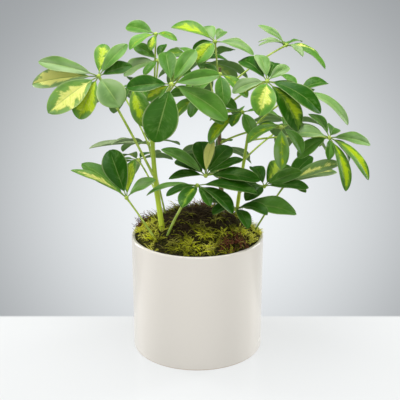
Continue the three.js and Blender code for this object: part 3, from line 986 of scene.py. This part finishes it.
def make_feathers(p):
    """Tufts of feathery strands, each tuft spreading from its own middle"""
    rng = np.random.default_rng(STRAND_SEEDS["feathers"])
    middle_x, middle_y = strew(rng, p.feathers // TUFT_STRANDS, feather_share, 12)
    tufts = len(middle_x)
    amount = tufts * TUFT_STRANDS
    course = rng.uniform(0, 2 * np.pi, amount)
    out = rng.uniform(0.3, 3.0, amount)
    x = np.repeat(middle_x, TUFT_STRANDS) + out * np.cos(course)
    y = np.repeat(middle_y, TUFT_STRANDS) + out * np.sin(course)
    heading = course + rng.normal(0, 0.35, amount)
    lift, bend = rng.uniform(0.7, 1.45, amount), rng.uniform(0.8, 2.0, amount)
    size = np.repeat(rng.uniform(8.5, 14, tufts), TUFT_STRANDS) * rng.uniform(0.75, 1.15, amount)
    turn = rng.normal(0, 0.6, amount)
    lines = strand_lines(x, y, heading, lift, bend, turn, size, FEATHER_STEPS)
    radii = np.linspace(0.42, 0.15, FEATHER_STEPS + 1)[None] * np.ones((amount, 1))
    lime = spots_share(x, y, LIME_SPOTS)
    tone = np.repeat(rng.normal(0, 0.28, tufts), TUFT_STRANDS)
    own = np.clip(0.05 + lime + tone + rng.normal(0, 0.1, amount), 0, 1)
    # Painted light: each tuft is lit or shaded by a brightness of its own, and the lime spots get more
    # painted highlight
    glow = np.repeat(rng.normal(0.0, 0.3, tufts), TUFT_STRANDS)
    light = np.clip(glow + 0.6 * lime + rng.normal(0, 0.16, amount), 0, 1)
    parts = [strand_tubes(lines, radii), strand_leaves(lines, rng.uniform(2.0, 3.2, amount))]
    # Near-black roots, partly painted shade, and a pale yellow painted highlight as the last colour
    material = strand_material(
        "moss_strand", (0.010, 0.010, 0.001, 1), p.olive, p.lime, (1.0, 0.95, 0.20, 1)
    )
    strand_piece("moss_feathers", material, parts, own, light)


def make_fibres(p):
    """Peat fibres, thin and of all lengths"""
    rng = np.random.default_rng(STRAND_SEEDS["fibres"])
    x, y = strew(rng, p.fibres, peat_share, 12)
    amount = len(x)
    heading = rng.random(amount) * 2 * np.pi
    lift, bend = rng.uniform(0.1, 1.2, amount), rng.uniform(0.5, 2.2, amount)
    turn = rng.normal(0, 1.6, amount)
    size = rng.uniform(7, 17, amount)
    lines = strand_lines(x, y, heading, lift, bend, turn, size, FIBRE_STEPS)
    radii = np.linspace(1, 0.5, FIBRE_STEPS + 1)[None] * rng.uniform(0.16, 0.42, amount)[:, None]
    own = rng.random(amount) ** 2
    light = np.clip(rng.normal(0.05, 0.33, amount), 0, 1)
    parts = [strand_tubes(lines, radii)]
    material = strand_material(
        "peat_fibre", p.peat, (0.06, 0.038, 0.017, 1), (0.10, 0.085, 0.015, 1), (0.33, 0.24, 0.11, 1)
    )
    strand_piece("peat_fibres", material, parts, own, light)


def make_curls(p):
    """Dry curls: each a loose helix round a strand's line"""
    rng = np.random.default_rng(STRAND_SEEDS["curls"])
    x, y = strew(rng, p.curls, curl_share, 30)
    amount = len(x)
    outward = np.where(np.hypot(x, y) > OUTWARD_RADIUS, 1.0, 0.0)
    random_heading = rng.uniform(-np.pi, np.pi, amount)
    heading = np.arctan2(y, x) * outward + random_heading * (1 - 0.65 * outward)
    size = rng.uniform(9, 18, amount)
    lift, bend = rng.uniform(0.5, 1.4, amount), rng.uniform(0.2, 1.4, amount)
    turn = rng.normal(0, 0.8, amount)
    lines = strand_lines(x, y, heading, lift, bend, turn, size, CURL_STEPS)
    _, side, over = line_frames(lines)
    along = np.linspace(0, 1, CURL_STEPS + 1)
    spin = along * rng.uniform(7, 15, amount)[:, None] + heading[:, None]
    coil = np.linspace(0.3, 1.0, CURL_STEPS + 1)[None] * rng.uniform(0.9, 1.9, amount)[:, None]
    across, up = np.cos(spin) * coil, np.sin(spin) * coil
    lines = lines + across[:, :, None] * side + up[:, :, None] * over
    radii = np.linspace(1, 0.5, CURL_STEPS + 1)[None] * rng.uniform(0.32, 0.55, amount)[:, None]
    own = rng.random(amount)
    # Painted highlight: each curl's own brightness mixes in the lighter red-brown of light on it
    light = np.clip(rng.normal(0.0, 0.3, amount), 0, 1)
    parts = [strand_tubes(lines, radii)]
    material = strand_material(
        "dry_curl", (0.03, 0.008, 0.005, 1), p.dry, (0.15, 0.07, 0.025, 1), (0.45, 0.19, 0.10, 1)
    )
    strand_piece("dry_curls", material, parts, own, light)


class PLANT_OT_moss_strands(bpy.types.Operator):
    """Strews feathery moss strands, peat fibres and dry curls over the mat"""

    bl_idname = "plant.moss_strands"
    bl_label = "Moss strands"

    def execute(self, context):
        p = context.scene.umbrella_moss
        make_feathers(p)
        make_fibres(p)
        make_curls(p)
        return {"FINISHED"}


# Stems


def stem_material(p, name, young):
    g = Graph(name)
    x, y, z = g.split(g.place())
    grain = g.noise(500.0, 3.0, 0.6, g.vector(x, y, z * 0.25))
    blotch = g.noise(60.0)
    if young:
        tone = g.mix(z.rise(0.235, 0.13), p.green, p.pale)
        tone = g.mix(blotch.rise(0.5, 0.7) * 0.35, tone, (0.20, 0.34, 0.03, 1))
        tone = g.mix(grain.rise(0.62, 0.75) * 0.4, tone, (0.34, 0.33, 0.12, 1))
        roughness, depth = 0.42, 0.1
    else:
        tone = g.mix(grain.rise(0.35, 0.65), p.woody, (0.27, 0.21, 0.10, 1))
        tone = g.mix(blotch.rise(0.5, 0.75) * 0.6, tone, (0.16, 0.19, 0.05, 1))
        roughness, depth = 0.7, 0.35
    return g.surface(tone, roughness, g.bump(grain, depth * MM), Specular_IOR_Level=0.25)


def add_tube(path, radius, sides, steps):
    """A tube with so many sides along a cubic curve, closed at both ends"""
    deselect()
    bpy.ops.curve.primitive_bezier_curve_add()
    curve = bpy.context.object
    first, last = curve.data.splines[0].bezier_points
    for point in (first, last):
        point.handle_left_type = point.handle_right_type = "FREE"
    path = [Vector(point) * MM for point in path]
    first.co, first.handle_right, last.handle_left, last.co = path
    first.handle_left = path[0] * 2 - path[1]
    last.handle_right = path[3] * 2 - path[2]
    curve.data.dimensions = "3D"
    curve.data.bevel_depth = radius * MM
    curve.data.bevel_resolution = sides // 2 - 2
    curve.data.resolution_u = steps
    curve.data.use_fill_caps = True
    bpy.ops.object.convert(target="MESH")
    tube = bpy.context.object
    merge = {"threshold": MERGE_DISTANCE}
    edit(tube, everything, lambda: bpy.ops.mesh.remove_doubles(**merge), outwards)
    return tube


def shape_tube(tube, path, radius, swell):
    """Gives a tube of one radius the radius that swell says for each share along its path."""
    shares = np.linspace(0, 1, PATH_SAMPLES)
    line = np.array([bezier(path, share) for share in shares]) * MM
    points = points_of(tube.data)
    near = np.argmin(((points[:, None] - line[None]) ** 2).sum(axis=2), axis=1)
    middle = line[near]
    points = middle + (points - middle) * (swell(shares[near]) / radius)[:, None]
    set_points(tube.data, points)


def knotty_radius(stem, share):
    """The radius of a stem, thicker at the knots where leaves have grown"""
    knots = (share * STEM_STEPS - 1) / NODE_EVERY
    away = np.abs(knots - np.round(knots)) * NODE_EVERY
    knot = np.exp(-(away / KNOT_WIDTH) ** 2)
    return stem_radius(stem, share) * (1 + (NODE_SWELL - 1) * knot)


class PLANT_OT_stems(bpy.types.Operator):
    """Makes the stems with their knots"""

    bl_idname = "plant.stems"
    bl_label = "Stems"

    def execute(self, context):
        p = context.scene.umbrella_stems
        finishes = {
            "green_stem": stem_material(p, "stem_green", True),
            "woody_stem": stem_material(p, "stem_woody", False),
        }
        for name, stem in STEMS.items():
            skin = add_tube(stem["path"], TUBE_RADIUS, sides=12, steps=60)
            shape_tube(skin, stem["path"], TUBE_RADIUS, lambda share: knotty_radius(stem, share))
            smooth(skin, 60)
            paint(skin, finishes[stem["slot"]])
            complete(skin, name + "_skin", name)
        return {"FINISHED"}


# Fronds


def leaf_material(p):
    """look is (splash, side, cream) and life is (own chance, darkness, underside)."""
    g = Graph("leaf_variegated")
    u, v, _ = g.split(g.node("UVMap", {"uv_map": "blade"}).outputs["UV"])
    splash, side, cream = g.attribute("look")
    chance, dark, under = g.attribute("life")
    across = u * 2 - 1
    out = abs(across)

    vein = v - out * VEIN_SLANT
    salt = chance * 91.0
    streak = g.noise(1.0, 3.0, 0.6, g.vector(vein * 5.5, across * 0.9, salt))
    fine = g.noise(1.0, 2.0, 0.6, g.vector(vein * 26.0, across * 4.0, salt + 7.0))
    cloud = g.noise(1.0, 2.0, 0.5, g.vector(v * 2.2, across * 1.1, salt + 3.0))
    sheen = g.noise(1.0, 1.0, 0.5, g.vector(v * 1.3, across * 0.8, salt + 11.0))

    # Green with darker clouds, light ribs and streaks along them, and in places a painted sheen: pale
    # grey green that stands in for the soft light's reflection
    green = g.mix(dark.rise(0.0, 1.0), p.fresh, p.deep)
    # Painted sheen: a darkness below 0 mixes in the pale grey green of light reflected off the leaflet
    green = g.mix(-dark, green, p.pale)
    green = g.mix(cloud.rise(0.42, 0.68) * 0.5, green, (0.020, 0.090, 0.005, 1))
    ribs = abs((vein * RIB_PAIRS + fine * 0.3).fraction() - 0.5).rise(0.10, 0.0)
    ribs = ribs * out.rise(1.0, 0.55)
    green = g.mix(ribs * 0.14, green, (0.16, 0.30, 0.05, 1))
    wisp = (streak * 0.7 + fine * 0.3).rise(0.50, 0.66) * 0.35
    green = g.mix(wisp, green, (0.19, 0.34, 0.08, 1))
    # Painted sheen: the light's pale reflection painted into the colour, less on the darker leaflets
    painted_sheen = sheen.rise(dark * 0.15 + 0.45, dark * 0.04 + 0.70)
    green = g.mix(painted_sheen * dark.rise(0.95, -0.45) * 0.46, green, p.painted_sheen)

    # The splash spreads from the midrib, more on one side, with ragged ends along the veins
    spot = abs(across - side * 0.5)
    reach = splash * (0.3 + v.rise(0.0, 0.4) * 0.6) * v.rise(1.05, 0.6)
    edge = reach - spot + (streak - 0.5) * 1.9 + (fine - 0.5) * 0.6
    some = splash.rise(0.02, 0.12)
    halo = edge.rise(-0.45, 0.05) * some
    bright = edge.rise(-0.02, 0.26) * some
    pale = g.mix((cream + (fine - 0.5) * 0.9).rise(0.1, 0.9), p.lime, p.cream)
    tone = g.mix(halo * (0.35 + dark.rise(-0.5, 0.2) * 0.4), green, p.halo)
    tone = g.mix(bright, tone, pale)

    # The midrib, the pale margin, the greyer underside and the stalk
    midrib = out.rise(0.05, 0.015) * v.rise(1.0, 0.6)
    margin = out.rise(0.89, 0.99)
    tone = g.mix(midrib * (0.6 - dark * 0.2), tone, (0.34, 0.46, 0.12, 1))
    tone = g.mix(margin * 0.55, tone, (0.46, 0.56, 0.22, 1))
    tone = g.mix(under * 0.55, tone, p.under)
    stalk = v.rise(0.03, -0.02)
    tone = g.mix(stalk, tone, (0.20, 0.30, 0.045, 1))

    height = ribs * -0.10 + midrib * (under * 1.2 - 0.6) + cloud * 1.3 + fine * 0.02
    roughness = 0.30 + cloud * 0.18 + under * 0.25
    leaf = g.principled(tone, roughness, g.bump(height, 0.35 * MM, 0.8), Specular_IOR_Level=0.11)
    through = g.node("BsdfTranslucent", values={"Color": (0.34, 0.60, 0.02, 1)})
    share = (1 - stalk) * 0.16
    mixed = g.node("MixShader", values={0: share, 1: leaf, 2: through.outputs[0]})
    return g.finish(mixed.outputs[0])


def petiole_material():
    g = Graph("petiole_green")
    blotch = g.noise(90.0)
    tone = g.mix(blotch.rise(0.35, 0.7), (0.30, 0.43, 0.045, 1), (0.50, 0.62, 0.12, 1))
    return g.surface(tone, 0.45, g.bump(blotch, 0.1 * MM), Specular_IOR_Level=0.3)


def add_blank():
    """Adds a flat leaflet of unit size: x across from -1 to 1, y along from 0 to 1, z its side."""
    blank = add(
        bpy.ops.mesh.primitive_grid_add,
        x_subdivisions=len(COLUMNS) - 1, y_subdivisions=STALK_ROWS + BLADE_ROWS, size=2,
    )
    modify(blank, "SOLIDIFY", thickness=2.0, offset=0.0)
    points = points_of(blank.data)
    column = np.round((points[:, 0] + 1) / 2 * (len(COLUMNS) - 1)).astype(int)
    row = np.round((points[:, 1] + 1) / 2 * (STALK_ROWS + BLADE_ROWS))
    blade = np.clip((row - STALK_ROWS) / BLADE_ROWS, 0, 1)
    blade = blade + ROW_CROWDING * np.sin(2 * np.pi * blade - np.pi)
    stalk = np.clip(row / STALK_ROWS, 0, 1)
    along = STALK_SHARE + (1 - STALK_SHARE) * blade
    points[:, 0] = np.array(COLUMNS)[column]
    points[:, 1] = np.where(row <= STALK_ROWS, STALK_SHARE * stalk, along)
    points[:, 2] = np.sign(points[:, 2])
    set_points(blank.data, points)
    layer = blank.data.uv_layers.active
    layer.name = "blade"
    corner = np.empty(len(blank.data.loops), dtype=np.int32)
    blank.data.loops.foreach_get("vertex_index", corner)
    along = (points[:, 1] - STALK_SHARE) / (1 - STALK_SHARE)
    uv = np.stack((points[corner, 0] / 2 + 0.5, along[corner]), axis=1)
    layer.data.foreach_set("uv", uv.astype(np.float32).ravel())
    return blank


def bend_leaflet(flat, hub, axis, radial, size, shape, thickness):
    """Places a flat leaflet along the arc of its midrib, all in millimetres."""
    across, along, face = flat.T
    on_stalk = along <= STALK_SHARE
    blade = np.clip((along - STALK_SHARE) / (1 - STALK_SHARE), 0, 1)
    outline = np.abs(np.sin(np.pi * blade ** WIDEST)) ** BLUNT
    least = STALK_HALF - (STALK_HALF - TIP_HALF) * blade
    half = np.where(on_stalk, STALK_HALF, np.maximum(least, shape["width"] / 2 * outline))
    start = ROOT_START / size
    share = np.where(on_stalk, start + (STALK_SHARE - start) * along / STALK_SHARE, along)
    lift, droop = shape["lift"], shape["droop"]
    angle = lift - droop * share
    reach = size * (math.sin(lift) - np.sin(angle)) / droop
    rise = size * (np.cos(angle) - math.cos(lift)) / droop
    middle = hub + reach[:, None] * radial + rise[:, None] * axis
    side = np.cross(axis, radial)
    normal = np.cos(angle)[:, None] * axis - np.sin(angle)[:, None] * radial
    roll = shape["roll"] + shape["twist"] * (blade - 0.3)
    over = np.cos(roll)[:, None] * side + np.sin(roll)[:, None] * normal
    up = np.cos(roll)[:, None] * normal - np.sin(roll)[:, None] * side
    far = np.abs(across)
    grown = np.clip(blade / CUP_START, 0, 1)
    cup = half * math.tan(shape["fold"]) * (1.5 * far - 0.6 * far ** 2) * grown
    ripple = shape["waves"] * blade + shape["phase"] + 0.25 * np.sign(across)
    wave = shape["wave"] * far ** 2 * np.sin(2 * np.pi * ripple)
    cup = cup + wave * np.sin(np.pi * blade)
    sway = shape["sway"] * size * np.sin(np.pi * blade)
    rib = np.exp(-(far / MIDRIB["width"]) ** 2)
    rib = np.where(face < 0, MIDRIB["ridge"] * (1 - blade) * rib, -MIDRIB["groove"] * rib)
    blade_thick = thickness / 2 * (1 - MARGIN_THINNING * far ** 2) + rib
    stalk_thick = STALK_THICK * np.sqrt(np.maximum(1 - far ** 2, 0.02))
    thick = np.where(on_stalk, stalk_thick, blade_thick)
    return middle + (across * half + sway)[:, None] * over + (cup + face * thick)[:, None] * up


def vary(means, spreads, draw):
    """Each mean with a seeded draw of its own, in the order of the means"""
    return {key: mean + spreads[key] * next(draw) for key, mean in means.items()}


def leaflet_shape(leaflet, order, draw, extra):
    """The angles, the width and the waves of a leaflet, with its seeded draws"""
    stagger = STAGGER if order % 2 else -STAGGER
    means = dict(
        lift=leaflet["lift"] + stagger, droop=leaflet["droop"], roll=0, fold=FOLD,
        broad=leaflet["broad"],
    )
    shape = vary(means, SPREAD, draw) | vary(WAVING, WAVING_SPREAD, extra)
    for angle in ("lift", "droop", "roll", "fold", "twist"):
        shape[angle] = math.radians(shape[angle])
    shape["width"] = leaflet["size"] * (1 - STALK_SHARE) * shape["broad"]
    return shape


def colour_leaflet(piece, look, extra, below):
    """Gives a leaflet what its material reads: its look, its life and which side is below."""
    splash, side, cream, dark = LOOKS[look]
    means = dict(splash=1, side=side, cream=cream, chance=0, dark=dark)
    drawn = vary(means, LOOK_SPREAD, extra)
    rows = np.ones((len(below), 1))
    look = (splash * drawn["splash"], drawn["side"], drawn["cream"])
    set_attribute(piece.data, "look", rows * look)
    life = (abs(drawn["chance"]), min(1, max(-1, drawn["dark"])))
    set_attribute(piece.data, "life", np.column_stack((rows * life, below)))


def flared(radius, share):
    """The radius of a petiole, wider at its foot and at its hub"""
    foot = FOOT_FLARE["swell"] * np.exp(-share / FOOT_FLARE["reach"])
    hub = HUB_FLARE["swell"] * np.exp((share - 1) / HUB_FLARE["reach"])
    return radius + foot + hub


def make_petiole(frond, foot, control, hub):
    """The petiole, thicker at its ends, and the knob at its hub, both in the second material"""
    path = (foot, foot + (control - foot) * 2 / 3, hub + (control - hub) * 2 / 3, hub)
    radius = frond["petiole"] * PETIOLE_SLIM
    petiole = add_tube(path, radius, sides=8, steps=14)
    shape_tube(petiole, path, radius, lambda share: flared(radius, share))
    knob = add(
        bpy.ops.mesh.primitive_ico_sphere_add, subdivisions=2, radius=KNOB_RADIUS * MM,
        location=Vector(frond["hub"]) * MM,
    )
    for piece in (petiole, knob):
        piece.data.polygons.foreach_set("material_index", [1] * len(piece.data.polygons))
    return [petiole, knob]


def make_frond(frond, seed, blank, thickness, materials):
    """The petiole, its knob and copies of the blank bent to its leaflets, joined in one piece"""
    foot, control, hub = petiole_path(frond)
    pieces = make_petiole(frond, foot, control, hub)
    axis, right, ahead = crown_axes(frond)
    draw, extra = draws(seed), draws(seed + EXTRA_SEED)
    flat = points_of(blank.data)
    for order, leaflet in enumerate(frond["leaflets"]):
        shape = leaflet_shape(leaflet, order, draw, extra)
        turn = math.radians(leaflet["turn"])
        radial = math.cos(turn) * right + math.sin(turn) * ahead
        piece = blank.copy()
        piece.data = blank.data.copy()
        bpy.context.scene.collection.objects.link(piece)
        bent = bend_leaflet(flat, hub, axis, radial, leaflet["size"], shape, thickness)
        set_points(piece.data, bent * MM)
        colour_leaflet(piece, leaflet["look"], extra, flat[:, 2] < 0)
        pieces.append(piece)
    deselect()
    for piece in pieces:
        for material in materials:
            piece.data.materials.append(material)
        piece.select_set(True)
    bpy.context.view_layer.objects.active = pieces[-1]
    bpy.ops.object.join()
    return pieces[-1]


class PLANT_OT_fronds(bpy.types.Operator):
    """Makes each frond: its petiole, its hub and its leaflets"""

    bl_idname = "plant.fronds"
    bl_label = "Fronds"

    def execute(self, context):
        p = context.scene.umbrella_foliage
        thickness = p.thickness / MM
        materials = [leaf_material(p), petiole_material()]
        blank = add_blank()
        for order, (name, frond) in enumerate(FRONDS.items()):
            leaves = make_frond(frond, FIRST_SEED + order, blank, thickness, materials)
            smooth(leaves, 55)
            complete(leaves, name + "_leaves", name)
        bpy.data.objects.remove(blank)
        return {"FINISHED"}


# Stage


def stage_material(p):
    """A pale floor, and past its edge a backdrop that fades away from a pool of light"""
    g = Graph("studio_sweep")
    x, y, _ = g.split(g.place())
    edge = y.rise(*FLOOR_EDGE)
    # Painted pool of light on the backdrop: bright behind the pot, fading to the darker colour further
    # out
    fade = 1 / (y + POOL["away"])
    over = x * fade * POOL["across"] - POOL["side"]
    up = fade * POOL["up"] - POOL["height"]
    pool = (over * over + up * up) ** 0.5
    far = g.mix(pool.rise(0.0, POOL["reach"]) ** POOL["fall"], p.bright, p.dark)
    matt = g.principled(p.floor, 0.25)
    glow = g.node("Emission", values={"Color": p.glow}).outputs[0]
    floor = g.node("MixShader", values={0: 0.75, 1: matt, 2: glow}).outputs[0]
    backdrop = g.node("Emission", values={"Color": far}).outputs[0]
    mixed = g.node("MixShader", values={0: edge, 1: floor, 2: backdrop})
    return g.finish(mixed.outputs[0])


def add_light(name, size, power, place, target):
    """A rectangular light that faces a target"""
    deselect()
    bpy.ops.object.light_add(type="AREA", location=place)
    light = bpy.context.object
    light.name = name
    light.data.shape = "RECTANGLE"
    light.data.size, light.data.size_y = size
    light.data.energy = power
    direction = Vector(target) - Vector(place)
    light.rotation_euler = direction.to_track_quat("-Z", "Y").to_euler()


class PLANT_OT_stage(bpy.types.Operator):
    """Makes the floor, the lights and the camera"""

    bl_idname = "plant.stage"
    bl_label = "Stage"

    def execute(self, context):
        p = context.scene.umbrella_stage
        floor = add(bpy.ops.mesh.primitive_plane_add, size=FLOOR_SIZE)
        floor.name = "studio_floor"
        paint(floor, stage_material(p))
        for name, settings in LIGHTS.items():
            add_light(name, *settings)
        world = bpy.data.worlds.new("studio")
        world.use_nodes = True
        background = world.node_tree.nodes["Background"]
        background.inputs["Color"].default_value = SKY["colour"]
        background.inputs["Strength"].default_value = SKY["strength"]
        context.scene.world = world
        context.scene.view_settings.view_transform = "Standard"
        deselect()
        place = (p.camera_side, -p.camera_distance, p.camera_height)
        turn = (math.pi / 2 - p.pitch, 0, 0)
        bpy.ops.object.camera_add(location=place, rotation=turn)
        camera = bpy.context.object
        camera.name = "studio_camera"
        camera.data.lens = p.lens
        camera.data.sensor_width = SENSOR_WIDTH
        camera.data.clip_end = VIEW_END
        context.scene.camera = camera
        return {"FINISHED"}


class PLANT_PT_parts(bpy.types.Panel):
    """Lists the plant's pieces in the sidebar."""

    bl_idname = "PLANT_PT_parts"
    bl_label = "Umbrella plant"
    bl_space_type = "VIEW_3D"
    bl_region_type = "UI"
    bl_category = "Plant"

    def draw(self, context):
        for operator, settings in PIECES:
            box = self.layout.box()
            box.operator(operator.bl_idname)
            if settings:
                group = getattr(context.scene, settings)
                for key in group.bl_rna.properties.keys():
                    if key not in ("rna_type", "name"):
                        box.prop(group, key)


SETTINGS = {
    "umbrella_pot": PotSettings,
    "umbrella_moss": MossSettings,
    "umbrella_stems": StemSettings,
    "umbrella_foliage": FoliageSettings,
    "umbrella_stage": StageSettings,
}
PIECES = (
    (PLANT_OT_stage, "umbrella_stage"),
    (PLANT_OT_pot, "umbrella_pot"),
    (PLANT_OT_soil, None),
    (PLANT_OT_moss_mat, "umbrella_moss"),
    (PLANT_OT_moss_strands, None),
    (PLANT_OT_stems, "umbrella_stems"),
    (PLANT_OT_fronds, "umbrella_foliage"),
)


def register():
    for name, group in SETTINGS.items():
        bpy.utils.register_class(group)
        setattr(bpy.types.Scene, name, bpy.props.PointerProperty(type=group))
    for operator, _ in PIECES:
        bpy.utils.register_class(operator)
    bpy.utils.register_class(PLANT_PT_parts)


def unregister():
    bpy.utils.unregister_class(PLANT_PT_parts)
    for operator, _ in reversed(PIECES):
        bpy.utils.unregister_class(operator)
    for name, group in SETTINGS.items():
        delattr(bpy.types.Scene, name)
        bpy.utils.unregister_class(group)


def main():
    register()
    bpy.ops.plant.stage()
    bpy.ops.plant.pot()
    bpy.ops.plant.soil()
    bpy.ops.plant.moss_mat()
    bpy.ops.plant.moss_strands()
    bpy.ops.plant.stems()
    bpy.ops.plant.fronds()


if __name__ == "__main__":
    main()
